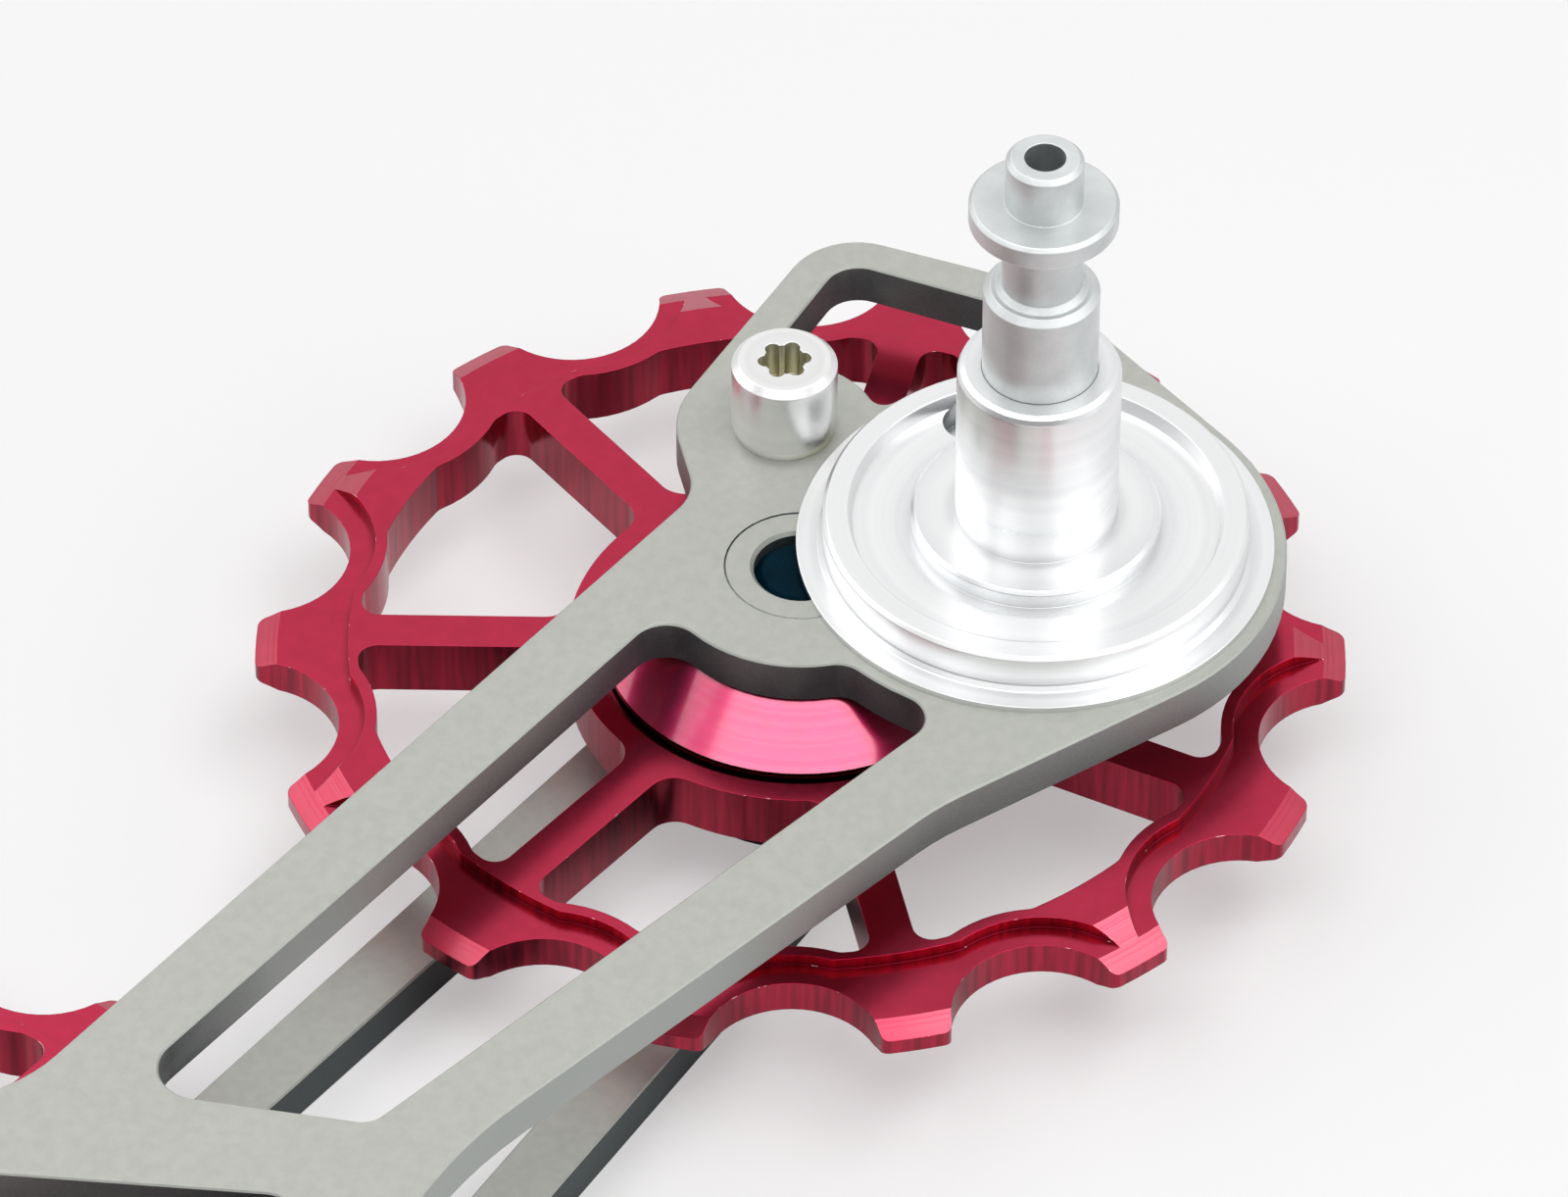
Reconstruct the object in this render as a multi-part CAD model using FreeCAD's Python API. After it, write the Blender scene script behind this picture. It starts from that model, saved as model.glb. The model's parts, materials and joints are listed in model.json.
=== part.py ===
import FreeCAD, Part
import math
import os

# Oversized derailleur pulley cage: two plates, two toothed guide wheels on ball bearings, and the pivot boss
# with its pin. Millimetres. The pivot axis is Z through the origin, and Z = 0 is the seat at the boss's foot.
# The arms run along X, and the lower wheel is at the -X end.

# Places in the plan
PIVOT = (0.0, 0.0)
UPPER_AXLE = (-8.77, 8.65)
LOWER_AXLE = (-86.8, 19.03)
STOP_PIN = (-0.93, 15.87)
SPRING_HOLE = (3.87, 7.29)
AXLES = (UPPER_AXLE, LOWER_AXLE)

# Levels and thicknesses
FLANGE_H = 2.75
PLATE_T = 2.5
PLATE_GAP = 8.4
OUTER_TOP = -FLANGE_H
OUTER_LOW = OUTER_TOP - PLATE_T
MID = OUTER_LOW - PLATE_GAP / 2
INNER_TOP = OUTER_LOW - PLATE_GAP
INNER_LOW = INNER_TOP - PLATE_T
EDGE_BREAK = 0.1

# Outer plate: lobes, outline corners with their rounds, and edges of the arms
LOBE_R = 13.15
AXLE_LOBE_R = 7.5
LOWER_LOBE_R = 9.3
LUG_FOOT_X = -7.82
LUG_FOOT_ROUND = 3.0
LUG_CORNER = (-3.84, 21.27)
LUG_R = 5.6
LOOP_TOP = (12.56, 23.68)
LOOP_TOP_ROUND = 3.9
LOOP_SIDE = (16.34, 11.82)
LOOP_SIDE_ROUND = 14.0
SWELL = (-18.4, -7.71)
SWELL_ROUND = 15.0
NOTCH = (-51.0, -3.55)
NOTCH_ROUND = 25.0
HEEL = (-64.0, -5.4)
HEEL_ROUND = 8.0
BEND_X = -61.4
BEND_ROUND = 8.5
ARM_LEFT = 16.4
BEND_DROP = 0.2

# Outer plate's windows
WINDOW_LEFT = 12.15
WINDOW_FOOT = (-9.0, -4.29)
BAR_LEFT = (-59.05, 12.15)
BAR_RIGHT = (-53.2, 0.9)
BAR_BACK_LEFT = (-67.15, 13.06)
BAR_BACK_RIGHT = (-60.74, 3.03)
BAR_LEFT_ROUND = 2.2
BAR_RIGHT_ROUND = 1.4
WINDOW_ARM_ROUND = 1.9
WINDOW_WAIST_ROUND = 1.6
WINDOW_FOOT_ROUND = 1.7
LOWER_RIM_W = 4.25
LOWER_WINDOW_ROUND = 1.8
LUG_WINDOW_R = 5.05
LOOP_IN_LEFT = (-0.9, 19.4)
LOOP_IN_TOP = (11.2, 21.38)
LOOP_IN_SIDE = (14.2, 10.9)
LOOP_IN_FOOT = (13.4, 8.0)
LOOP_IN_TOP_ROUND = 1.9
LOOP_IN_LUG_ROUND = 1.0
LOOP_IN_SIDE_ROUND = 3.0
LOOP_IN_FOOT_ROUND = 0.8

# Inner plate
INNER_LOBE_R = 7.6
INNER_ARM_LEFT = 15.9
INNER_WINDOW_LEFT = 12.35
INNER_ARM_W = 3.4
INNER_NOTCH = (-46.0, -2.95)
INNER_LOBE_ROUND = 1.2

# Toothed wheels for half-inch chain
CHAIN_PITCH = 12.7
UPPER_TEETH = 14
LOWER_TEETH = 18
UPPER_TURN = 49.96
LOWER_TURN = 19.5
ROOT_DROP = 3.9
TIP_RISE = 0.05
GULLET_R = 4.71
TIP_ROUND = 0.5
WIDE_T = 3.24
NARROW_T = 1.9
TIP_T = 0.9
CONE_RUN = 2.73
STEP_W = 1.35
NARROW_STEP = 0.95
RIM_WALL = 1.98
LOBE_WALL = 1.45
HUB_R = 12.2
SPOKE_W = 2.3
WINDOW_HUB_ROUND = 1.5
WINDOW_RIM_ROUND = 1.0
HUB_RECESS_R = 11.0
HUB_RECESS = 0.5

# Ball bearing, 10 x 15 x 4: the balls and the races' walls follow from its two diameters
RACE_OUT_R = 7.5
RACE_IN_R = 5.0
RACE_W = 4.0
RACE_BREAK = 0.15
GROOVE_WALL = 0.45
GROOVE_DEPTH = 0.2
BALLS = 11
BALL_PITCH_R = (RACE_OUT_R + RACE_IN_R) / 2
BALL_R = (RACE_OUT_R - RACE_IN_R) / 2 - GROOVE_WALL
OUTER_WALL_R = BALL_PITCH_R + BALL_R - GROOVE_DEPTH
INNER_WALL_R = BALL_PITCH_R - BALL_R + GROOVE_DEPTH
RETAINER_PLAY = 0.15
RETAINER_W = 2.0
SEAL_T = 0.25
SEAL_SINK = 0.35
SEAL_PLAY = 0.3

# Cone-shaped bearing caps
CAP_R = 10.4
CAP_TOP_R = 7.0
CAP_RIM = 0.3
CAP_RIM_H = 1.45
CAP_POCKET_PLAY = 0.5
CAP_POCKET_STEP = 0.35
CAP_POCKET_DRAFT = 0.3
CAP_SPIGOT = 1.6

# Axle bolts and nuts
BOLT_R = 2.45
BOLT_HEAD_R = 4.4
BOLT_END_R = 2.0
BOLT_END_DROP = 0.35
BOLT_SOCKET_R = 1.5
BOLT_SOCKET = 1.3
BOLT_FLATS = 6
NUT_R = 4.0
NUT_NECK_R = 3.4
NUT_NECK = 1.6
NUT_BREAK = 0.1
NUT_BORE_BREAK = 0.2

# Pivot boss
BOSS_R = 4.25
BOSS_H = 10.05
BOSS_BREAK = 0.4
BOSS_BREAK_MID = 0.12
SPIGOT_R = 8.0
LIP_R = 12.48
LIP_T = 0.35
LIP_FILLET = 0.25
RING_R = 11.11
RING_IN_R = 9.8
RING_TOP = -0.26
RING_BREAK = 0.2
DISH = -1.0
DISH_DRAFT = 0.25
DISC_R = 6.54
DISC_BREAK = 0.2
SPRING_HOLE_R = 1.4
SPRING_HOLE_DEPTH = 1.4

# Pivot pin
PIN_R = 3.0
PIN_SINK = 0.3
PIN_SHOULDER = 15.6
PIN_BREAK = 0.35
NECK_R = 2.07
NECK_FILLET = 0.3
COLLAR_R = 3.84
COLLAR_LOW = 19.95
COLLAR_TOP = 21.35
COLLAR_BREAK = 0.2
TIP_R = 2.0
TIP_BREAK = 0.25
PIN_TOP = 24.28
TIP_HOLE_R = 1.07
TIP_HOLE = 5.0
TIP_HOLE_POINT = 0.6

# Stop pin
STOP_R = 2.8
STOP_H = 4.77
STOP_SHANK_R = 2.0
STOP_RELIEF = 0.12
STOP_RELIEF_H = 0.5
STOP_CHAMFER = 0.37
SOCKET_CORE_R = 1.1
SOCKET_LOBE_R = 0.42
SOCKET_LOBE_PITCH_R = 1.0
SOCKET_LOBES = 6
SOCKET_TURN = 15.0
SOCKET_DEPTH = 2.2

# Fits
PRESS = 0.02
SLIP = 0.05
BALL_PLAY = 0.03

# Two points closer than this are one
SAME = 1e-6

V = FreeCAD.Vector
UP = V(0, 0, 1)


# Shared shapes


def prism(points, low, height):
    corners = [V(x, y, low) for x, y in points]
    return Part.Face(Part.makePolygon(corners + corners[:1])).extrude(V(0, 0, height))


def disc(at, radius, low, height):
    return Part.makeCylinder(radius, height, V(at[0], at[1], low))


def turned(profile, at=(0, 0), level=0.0):
    corners = [V(r, 0, z) for r, z in profile]
    solid = Part.Face(Part.makePolygon(corners + corners[:1])).revolve(V(0, 0, 0), UP, 360)
    solid.translate(V(at[0], at[1], level))
    return solid


def flipped(profile):
    return [(r, -z) for r, z in profile]


def upright_edges(shape):
    edges = []
    for edge in shape.Edges:
        if len(edge.Vertexes) == 2:
            a, b = edge.Vertexes[0].Point, edge.Vertexes[1].Point
            if math.hypot(a.x - b.x, a.y - b.y) < SAME:
                edges.append(edge)
    return edges


def rounded(shape, corners):
    for x, y, radius in corners:
        near = min(upright_edges(shape), key=lambda e: math.hypot(e.Vertexes[0].X - x, e.Vertexes[0].Y - y))
        shape = shape.makeFillet(radius, [near])
    return shape


def polar(radius, degrees):
    return (radius * math.cos(math.radians(degrees)), radius * math.sin(math.radians(degrees)))


def touch(point, centre, radius, side):
    # the point where a line from "point" touches a circle, on its left (1) or right (-1) side
    dx, dy = point[0] - centre[0], point[1] - centre[1]
    angle = math.atan2(dy, dx) + side * math.acos(radius / math.hypot(dx, dy))
    return (centre[0] + radius * math.cos(angle), centre[1] + radius * math.sin(angle))


def meet(line, other):
    # the point where two straight lines cross
    (ax, ay), (bx, by) = line
    (cx, cy), (dx, dy) = other
    share = ((cx - ax) * (dy - cy) - (cy - ay) * (dx - cx)) / ((bx - ax) * (dy - cy) - (by - ay) * (dx - cx))
    return (ax + share * (bx - ax), ay + share * (by - ay))


def inset(start, end, width):
    # the line from start to end, moved to its right-hand side
    length = math.hypot(end[0] - start[0], end[1] - start[1])
    dx, dy = width * (end[1] - start[1]) / length, -width * (end[0] - start[0]) / length
    return ((start[0] + dx, start[1] + dy), (end[0] + dx, end[1] + dy))


def enter(start, end, centre, radius):
    # the point where the line from start to end first meets a circle
    length = math.hypot(end[0] - start[0], end[1] - start[1])
    ux, uy = (end[0] - start[0]) / length, (end[1] - start[1]) / length
    along = (centre[0] - start[0]) * ux + (centre[1] - start[1]) * uy
    off = (centre[0] - start[0]) * uy - (centre[1] - start[1]) * ux
    run = along - math.sqrt(radius * radius - off * off)
    return (start[0] + run * ux, start[1] + run * uy)


def waist(first, first_r, second, second_r, side):
    # the point where two circles cross, on the left (1) or right (-1) of the line from first to second
    gap = math.hypot(second[0] - first[0], second[1] - first[1])
    ux, uy = (second[0] - first[0]) / gap, (second[1] - first[1]) / gap
    along = (first_r * first_r - second_r * second_r + gap * gap) / (2 * gap)
    off = side * math.sqrt(first_r * first_r - along * along)
    return (first[0] + along * ux - off * uy, first[1] + along * uy + off * ux)


def softened(plate, low, top):
    # breaks the sharp edges round both faces of a plate
    edges = []
    for edge in plate.Edges:
        levels = [v.Z for v in edge.Vertexes]
        level = levels[0]
        if max(levels) - min(levels) < SAME and min(abs(level - low), abs(level - top)) < SAME:
            edges.append(edge)
    return plate.makeChamfer(EDGE_BREAK, edges)


def save(node, solids):
    shape = solids[0] if len(solids) == 1 else Part.makeCompound(solids)
    shape.exportStep("parts/%s.step" % node)


# Plates


def bend(arm_left):
    return (BEND_X, arm_left - BEND_DROP)


def lower_end(arm_left, notch):
    # the end that carries the lower axle: the arms turn out behind the crossbar and close in on the axle's lobe
    corner = bend(arm_left)
    return [corner, touch(corner, LOWER_AXLE, LOWER_LOBE_R, 1), touch(HEEL, LOWER_AXLE, LOWER_LOBE_R, -1), HEEL,
            notch]


def lower_window(arm_left, low, height):
    corner = bend(arm_left)
    back = (BAR_BACK_LEFT, BAR_BACK_RIGHT)
    left = inset(touch(corner, LOWER_AXLE, LOWER_LOBE_R, 1), corner, LOWER_RIM_W)
    right = inset(HEEL, touch(HEEL, LOWER_AXLE, LOWER_LOBE_R, -1), LOWER_RIM_W)
    foot = inset(NOTCH, HEEL, LOWER_RIM_W)
    near_left, near_right, heel = meet(back, left), meet(back, foot), meet(foot, right)
    window = prism([near_right, near_left, left[0], LOWER_AXLE, right[1], heel], low, height)
    window = window.cut(disc(LOWER_AXLE, LOWER_LOBE_R, low, height))
    window = max(window.Solids, key=lambda s: s.Volume)
    corners = [near_left, near_right, heel, enter(near_left, left[0], LOWER_AXLE, LOWER_LOBE_R),
               enter(heel, right[1], LOWER_AXLE, LOWER_LOBE_R)]
    return rounded(window, [corner + (LOWER_WINDOW_ROUND,) for corner in corners])


def outer_plate():
    low, height = OUTER_LOW, PLATE_T
    right = touch(LOOP_SIDE, PIVOT, LOBE_R, -1)
    under = touch(SWELL, PIVOT, LOBE_R, 1)
    lug_foot = (LUG_FOOT_X, ARM_LEFT)
    outline = lower_end(ARM_LEFT, NOTCH) + [SWELL, under, right, LOOP_SIDE, LOOP_TOP, LUG_CORNER, lug_foot]
    plate = prism(outline, low, height)
    plate = plate.fuse([disc(PIVOT, LOBE_R, low, height), disc(LOWER_AXLE, LOWER_LOBE_R, low, height)])
    plate = plate.removeSplitter()
    plate = rounded(plate, [bend(ARM_LEFT) + (BEND_ROUND,), NOTCH + (NOTCH_ROUND,), HEEL + (HEEL_ROUND,),
                            SWELL + (SWELL_ROUND,), LOOP_SIDE + (LOOP_SIDE_ROUND,), LOOP_TOP + (LOOP_TOP_ROUND,),
                            LUG_CORNER + (LUG_R,), lug_foot + (LUG_FOOT_ROUND,)])
    # the long window between the arms stops at the lobes round the upper axle and the pivot
    bar_left = meet((BAR_LEFT, BAR_RIGHT), ((BAR_LEFT[0], WINDOW_LEFT), (WINDOW_FOOT[0], WINDOW_LEFT)))
    arm_end = (WINDOW_FOOT[0], WINDOW_LEFT)
    window = prism([bar_left, BAR_RIGHT, WINDOW_FOOT, arm_end], low, height)
    window = window.cut([disc(UPPER_AXLE, AXLE_LOBE_R, low, height), disc(PIVOT, LOBE_R, low, height)])
    window = max(window.Solids, key=lambda s: s.Volume)
    window = rounded(window, [bar_left + (BAR_LEFT_ROUND,), BAR_RIGHT + (BAR_RIGHT_ROUND,),
                              enter(bar_left, arm_end, UPPER_AXLE, AXLE_LOBE_R) + (WINDOW_ARM_ROUND,),
                              waist(UPPER_AXLE, AXLE_LOBE_R, PIVOT, LOBE_R, -1) + (WINDOW_WAIST_ROUND,),
                              enter(BAR_RIGHT, WINDOW_FOOT, PIVOT, LOBE_R) + (WINDOW_FOOT_ROUND,)])
    # the loop behind the stop pin
    loop = prism([LOOP_IN_LEFT, LOOP_IN_TOP, LOOP_IN_SIDE, LOOP_IN_FOOT, (PIVOT[0], LOOP_IN_FOOT[1])], low, height)
    loop = loop.cut([disc(STOP_PIN, LUG_WINDOW_R, low, height), disc(PIVOT, LOBE_R, low, height)])
    loop = max(loop.Solids, key=lambda s: s.Volume)
    loop = rounded(loop, [LOOP_IN_TOP + (LOOP_IN_TOP_ROUND,), LOOP_IN_SIDE + (LOOP_IN_SIDE_ROUND,),
                          LOOP_IN_FOOT + (LOOP_IN_FOOT_ROUND,),
                          enter(LOOP_IN_TOP, LOOP_IN_LEFT, STOP_PIN, LUG_WINDOW_R) + (LOOP_IN_LUG_ROUND,),
                          waist(PIVOT, LOBE_R, STOP_PIN, LUG_WINDOW_R, -1) + (LOOP_IN_FOOT_ROUND,)])
    plate = plate.cut([window, loop, lower_window(ARM_LEFT, low, height)])
    plate = softened(plate, low, low + height)
    holes = [disc(PIVOT, SPIGOT_R + PRESS, low, height), disc(STOP_PIN, STOP_SHANK_R + PRESS, low, height)]
    for axle in AXLES:
        holes.append(disc(axle, NUT_R + PRESS, low, height))
    return plate.cut(holes)


def inner_plate():
    low, height = INNER_LOW, PLATE_T
    corner = bend(INNER_ARM_LEFT)
    top = touch(corner, UPPER_AXLE, INNER_LOBE_R, -1)
    under = touch(INNER_NOTCH, UPPER_AXLE, INNER_LOBE_R, 1)
    plate = prism(lower_end(INNER_ARM_LEFT, INNER_NOTCH) + [under, top], low, height)
    plate = plate.fuse([disc(UPPER_AXLE, INNER_LOBE_R, low, height), disc(LOWER_AXLE, LOWER_LOBE_R, low, height)])
    plate = plate.removeSplitter()
    plate = rounded(plate, [corner + (BEND_ROUND,), HEEL + (HEEL_ROUND,)])
    # the long window follows the right arm's edge
    bar = (BAR_LEFT, BAR_RIGHT)
    arm = inset(under, INNER_NOTCH, INNER_ARM_W)
    arm_end = (UPPER_AXLE[0], INNER_WINDOW_LEFT)
    bar_left = meet(bar, ((BAR_LEFT[0], INNER_WINDOW_LEFT), arm_end))
    bar_right = meet(bar, arm)
    window = prism([bar_left, bar_right, arm[0], arm_end], low, height)
    window = window.cut(disc(UPPER_AXLE, INNER_LOBE_R, low, height))
    window = max(window.Solids, key=lambda s: s.Volume)
    window = rounded(window, [bar_left + (BAR_LEFT_ROUND,), bar_right + (BAR_RIGHT_ROUND,),
                              enter(bar_left, arm_end, UPPER_AXLE, INNER_LOBE_R) + (INNER_LOBE_ROUND,),
                              enter(bar_right, arm[0], UPPER_AXLE, INNER_LOBE_R) + (INNER_LOBE_ROUND,)])
    plate = softened(plate.cut([window, lower_window(INNER_ARM_LEFT, low, height)]), low, low + height)
    sink = BOLT_HEAD_R - BOLT_R
    for axle in AXLES:
        seat = turned([(0, 0), (BOLT_HEAD_R + SLIP, 0), (BOLT_R + SLIP, sink), (BOLT_R + SLIP, PLATE_T),
                       (0, PLATE_T)], axle, low)
        plate = plate.cut(seat)
    return plate


# Pivot boss, pivot pin and stop pin


def pivot_boss():
    foot = OUTER_TOP + LIP_T
    bore = PIN_R + PRESS
    profile = [(bore, OUTER_LOW), (SPIGOT_R, OUTER_LOW), (SPIGOT_R, OUTER_TOP), (LIP_R, OUTER_TOP), (LIP_R, foot),
               (RING_R + LIP_FILLET, foot), (RING_R, foot + LIP_FILLET), (RING_R, RING_TOP - RING_BREAK),
               (RING_R - RING_BREAK, RING_TOP), (RING_IN_R, RING_TOP), (RING_IN_R - DISH_DRAFT, DISH), (DISC_R, DISH),
               (DISC_R, -DISC_BREAK), (DISC_R - DISC_BREAK, 0), (BOSS_R, 0), (BOSS_R, BOSS_H - BOSS_BREAK),
               (BOSS_R - BOSS_BREAK_MID, BOSS_H - BOSS_BREAK_MID), (BOSS_R - BOSS_BREAK, BOSS_H), (bore, BOSS_H)]
    hole = disc(SPRING_HOLE, SPRING_HOLE_R, DISH - SPRING_HOLE_DEPTH, SPRING_HOLE_DEPTH + FLANGE_H)
    return turned(profile, PIVOT).cut(hole)


def pivot_pin():
    foot = OUTER_LOW + PIN_SINK
    profile = [(0, foot), (PIN_R, foot), (PIN_R, PIN_SHOULDER - PIN_BREAK), (PIN_R - PIN_BREAK, PIN_SHOULDER),
               (NECK_R + NECK_FILLET, PIN_SHOULDER), (NECK_R, PIN_SHOULDER + NECK_FILLET), (NECK_R, COLLAR_LOW),
               (COLLAR_R - COLLAR_BREAK, COLLAR_LOW), (COLLAR_R, COLLAR_LOW + COLLAR_BREAK),
               (COLLAR_R, COLLAR_TOP - COLLAR_BREAK), (COLLAR_R - COLLAR_BREAK, COLLAR_TOP), (TIP_R, COLLAR_TOP),
               (TIP_R, PIN_TOP - TIP_BREAK), (TIP_R - TIP_BREAK, PIN_TOP), (TIP_HOLE_R, PIN_TOP),
               (TIP_HOLE_R, PIN_TOP - TIP_HOLE), (0, PIN_TOP - TIP_HOLE - TIP_HOLE_POINT)]
    return turned(profile, PIVOT)


def stop_pin():
    top = OUTER_TOP + STOP_H
    profile = [(0, OUTER_LOW), (STOP_SHANK_R, OUTER_LOW), (STOP_SHANK_R, OUTER_TOP),
               (STOP_R - STOP_RELIEF, OUTER_TOP), (STOP_R, OUTER_TOP + STOP_RELIEF_H), (STOP_R, top - STOP_CHAMFER),
               (STOP_R - STOP_CHAMFER, top), (0, top)]
    floor = top - SOCKET_DEPTH
    socket = disc(STOP_PIN, SOCKET_CORE_R, floor, SOCKET_DEPTH)
    for k in range(SOCKET_LOBES):
        x, y = polar(SOCKET_LOBE_PITCH_R, 360.0 * k / SOCKET_LOBES + SOCKET_TURN)
        socket = socket.fuse(disc((STOP_PIN[0] + x, STOP_PIN[1] + y), SOCKET_LOBE_R, floor, SOCKET_DEPTH))
    return turned(profile, STOP_PIN).cut(socket)


# Toothed wheels, with wide and narrow teeth in turn and a spoke behind each narrow one


def reach(edge):
    # how far an upright edge stands from the wheel's axis
    return math.hypot(edge.Vertexes[0].X, edge.Vertexes[0].Y)


def pulley(teeth, turn, axle):
    pitch_r = CHAIN_PITCH / 2 / math.sin(math.pi / teeth)
    root_r = pitch_r - ROOT_DROP
    tip_r = pitch_r + TIP_RISE
    gullet_at = root_r + GULLET_R
    step = 360.0 / teeth
    half = WIDE_T / 2
    # turned blank: hub recesses on both sides and one cone on each side of the teeth
    blank = turned([(RACE_OUT_R + PRESS, HUB_RECESS - half), (HUB_RECESS_R, HUB_RECESS - half),
                    (HUB_RECESS_R, -half), (tip_r - CONE_RUN, -half), (tip_r, -TIP_T / 2), (tip_r, TIP_T / 2),
                    (tip_r - CONE_RUN, half), (HUB_RECESS_R, half), (HUB_RECESS_R, half - HUB_RECESS),
                    (RACE_OUT_R + PRESS, half - HUB_RECESS)])
    # gullets between the teeth, with the tips' corners rounded
    gullets = [disc(polar(gullet_at, step * (k + 0.5)), GULLET_R, -half, WIDE_T) for k in range(teeth)]
    star = disc((0, 0), tip_r, -half, WIDE_T).cut(gullets)
    corners = [e for e in upright_edges(star) if reach(e) > tip_r - SAME and abs(e.Vertexes[0].Y) > SAME]
    star = star.makeFillet(TIP_ROUND, corners)
    wheel = blank.common(star)
    # windows between the spokes, each round a wide tooth
    rim = disc((0, 0), root_r - LOBE_WALL, -half, WIDE_T).cut(disc((0, 0), HUB_R, -half, WIDE_T))
    wedge = prism([(0, 0), polar(2 * tip_r, -step), polar(2 * tip_r, step)], -half, WIDE_T)
    window = rim.common(wedge)
    for side in (-1, 1):
        spoke = Part.makeBox(2 * tip_r, SPOKE_W, WIDE_T, V(0, -SPOKE_W / 2, -half))
        spoke.rotate(V(0, 0, 0), UP, side * step)
        bump = disc(polar(gullet_at, side * step / 2), GULLET_R + RIM_WALL, -half, WIDE_T)
        window = window.cut([spoke, bump])
    half_way = (HUB_R + root_r) / 2
    window = window.makeFillet(WINDOW_HUB_ROUND, [e for e in upright_edges(window) if reach(e) < half_way])
    window = window.makeFillet(WINDOW_RIM_ROUND, [e for e in upright_edges(window) if reach(e) > half_way])
    # pockets that thin each narrow tooth and the gullets beside it
    depth = (WIDE_T - NARROW_T) / 2
    pocket = disc((0, 0), gullet_at, -half, depth).cut(disc((0, 0), root_r - NARROW_STEP, -half, depth))
    pocket = pocket.common(prism([(0, 0), polar(2 * tip_r, -step / 2), polar(2 * tip_r, step / 2)], -half, depth))
    for side in (-1, 1):
        pocket = pocket.fuse(disc(polar(gullet_at, side * step / 2), GULLET_R + STEP_W, -half, depth))
    pocket = pocket.removeSplitter()
    cutters = []
    for k in range(teeth // 2):
        opening = window.copy()
        opening.rotate(V(0, 0, 0), UP, 2 * k * step)
        cutters.append(opening)
        for level in (0, WIDE_T - depth):
            thin = pocket.copy()
            thin.translate(V(0, 0, level))
            thin.rotate(V(0, 0, 0), UP, (2 * k + 1) * step)
            cutters.append(thin)
    wheel = wheel.cut(cutters)
    wheel.rotate(V(0, 0, 0), UP, turn)
    wheel.translate(V(axle[0], axle[1], MID))
    return wheel


# Bearings


def race_groove(axle):
    return Part.makeTorus(BALL_PITCH_R, BALL_R + BALL_PLAY, V(axle[0], axle[1], MID))


def outer_race(axle):
    half = RACE_W / 2
    ring = turned([(OUTER_WALL_R, -half), (RACE_OUT_R - RACE_BREAK, -half), (RACE_OUT_R, RACE_BREAK - half),
                   (RACE_OUT_R, half - RACE_BREAK), (RACE_OUT_R - RACE_BREAK, half), (OUTER_WALL_R, half)], axle, MID)
    return ring.cut(race_groove(axle))


def inner_race(axle):
    half = RACE_W / 2
    ring = turned([(RACE_IN_R, -half), (INNER_WALL_R, -half), (INNER_WALL_R, half), (RACE_IN_R, half)], axle, MID)
    return ring.cut(race_groove(axle))


def balls(axle):
    made = []
    for k in range(BALLS):
        x, y = polar(BALL_PITCH_R, 360.0 * k / BALLS)
        made.append(Part.makeSphere(BALL_R, V(axle[0] + x, axle[1] + y, MID)))
    return made


def retainer(axle):
    inside, outside = INNER_WALL_R + RETAINER_PLAY, OUTER_WALL_R - RETAINER_PLAY
    ring = turned([(inside, -RETAINER_W / 2), (outside, -RETAINER_W / 2), (outside, RETAINER_W / 2),
                   (inside, RETAINER_W / 2)], axle, MID)
    pockets = []
    for k in range(BALLS):
        x, y = polar(1, 360.0 * k / BALLS)
        start = V(axle[0] + x * INNER_WALL_R, axle[1] + y * INNER_WALL_R, MID)
        pockets.append(Part.makeCylinder(BALL_R + BALL_PLAY, OUTER_WALL_R - INNER_WALL_R, start, V(x, y, 0)))
    return ring.cut(pockets)


def seals(axle):
    made = []
    lip, rim = INNER_WALL_R + SEAL_PLAY, OUTER_WALL_R - PRESS
    for level in (RACE_W / 2 - SEAL_SINK, SEAL_SINK + SEAL_T - RACE_W / 2):
        made.append(turned([(lip, -SEAL_T), (rim, -SEAL_T), (rim, 0), (lip, 0)], axle, MID + level))
    return made


# Caps, axle bolts and axle nuts


def cap(axle, outer):
    # heights are counted from the wheel's middle plane towards the plate
    face = PLATE_GAP / 2
    land = RACE_W / 2
    bore = BOLT_R + SLIP
    ledge = INNER_WALL_R - SLIP
    pocket = RACE_OUT_R + CAP_POCKET_PLAY
    profile = [(bore, land - CAP_SPIGOT), (RACE_IN_R - PRESS, land - CAP_SPIGOT), (RACE_IN_R - PRESS, land),
               (ledge, land), (ledge, land + CAP_POCKET_STEP), (pocket, land + CAP_POCKET_STEP),
               (pocket + CAP_POCKET_DRAFT, CAP_RIM_H), (CAP_R, CAP_RIM_H), (CAP_R, CAP_RIM_H + CAP_RIM),
               (CAP_TOP_R, face)]
    if outer:
        neck = NUT_NECK_R + SLIP
        profile += [(neck, face), (neck, face - NUT_NECK - SLIP), (bore, face - NUT_NECK - SLIP)]
        return turned(profile, axle, MID)
    return turned(flipped(profile + [(bore, face)]), axle, MID)


def axle_bolt(axle):
    end = OUTER_TOP - BOLT_END_DROP
    sink = BOLT_HEAD_R - BOLT_R
    profile = [(0, INNER_LOW), (BOLT_HEAD_R, INNER_LOW), (BOLT_R, INNER_LOW + sink),
               (BOLT_R, end - (BOLT_R - BOLT_END_R)), (BOLT_END_R, end), (0, end)]
    corner_r = BOLT_SOCKET_R / math.cos(math.pi / BOLT_FLATS)
    socket = prism([polar(corner_r, 360.0 * k / BOLT_FLATS) for k in range(BOLT_FLATS)], INNER_LOW, BOLT_SOCKET)
    socket.translate(V(axle[0], axle[1], 0))
    return turned(profile, axle).cut(socket)


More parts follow.
